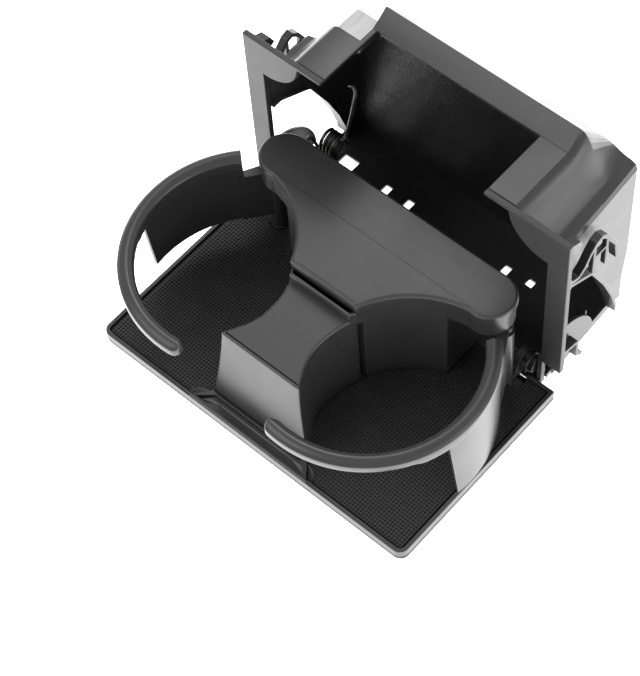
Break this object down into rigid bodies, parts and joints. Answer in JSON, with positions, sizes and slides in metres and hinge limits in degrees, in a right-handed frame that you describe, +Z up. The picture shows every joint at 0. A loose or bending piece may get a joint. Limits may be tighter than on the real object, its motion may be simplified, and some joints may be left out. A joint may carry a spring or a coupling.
{
  "type": "fold-out cup holder insert",
  "caption": "Console cup holder insert: a hooded housing with a face flange, a fold-down door carrying a contoured tray, rubber mats and a curved swing-out arm at each side.",
  "frame": {"origin": "underside of the housing's front sill, on the centre line, below the rear face of the flange", "axes": "+Z up, +Y towards the rear of the housing, +X to the right seen from the door"},
  "size_m": [0.1926, 0.1933, 0.1302],
  "materials": {
    "stippled_plastic": "fine stipple",
    "satin_plastic": "satin, coarse stipple inside",
    "smooth_plastic": "satin",
    "rubber": "matt waffle grid",
    "steel": "oiled"
  },
  "bodies": {
    "housing": {"face_frame": "stippled_plastic", "housing_shell": "satin_plastic", "pop_up_spring": "steel", "upper_clip_right": "satin_plastic", "lower_clip_right": "satin_plastic", "snap_tab_right": "satin_plastic", "hinge_quadrant_right": "satin_plastic", "hinge_pin_right": "steel", "upper_clip_left": "satin_plastic", "lower_clip_left": "satin_plastic", "snap_tab_left": "satin_plastic", "hinge_quadrant_left": "satin_plastic", "hinge_pin_left": "steel"},
    "door": {"door_skin": "smooth_plastic", "door_panel": "smooth_plastic", "grip_insert": "smooth_plastic", "cup_tray": "smooth_plastic", "tray_screw_1": "steel", "tray_screw_2": "steel", "rubber_mat_right": "rubber", "arm_pin_right": "steel", "arm_spring_right": "steel", "rubber_mat_left": "rubber", "arm_pin_left": "steel", "arm_spring_left": "steel"},
    "left_arm": {"left_arm": "smooth_plastic"},
    "right_arm": {"right_arm": "smooth_plastic"}
  },
  "joints": [
    {"name": "door_hinge", "type": "hinge", "parent": "housing", "child": "door", "pos_m": [0, -0.002, 0.012], "axis": [-1, 0, 0], "range_deg": [0, 90], "deforming": ["pop_up_spring"]},
    {"name": "left_arm_pivot", "type": "hinge", "parent": "door", "child": "left_arm", "pos_m": [-0.071, -0.015, 0.04], "axis": [0, 0, 1], "range_deg": [0, 49.5]},
    {"name": "right_arm_pivot", "type": "hinge", "parent": "door", "child": "right_arm", "pos_m": [0.071, -0.015, 0.04], "axis": [0, 0, -1], "range_deg": [0, 42.5]}
  ],
  "couplings": [
    {"joint": "left_arm_pivot", "follows": "door_hinge", "ratio": 0.55},
    {"joint": "right_arm_pivot", "follows": "door_hinge", "ratio": 0.47222}
  ]
}
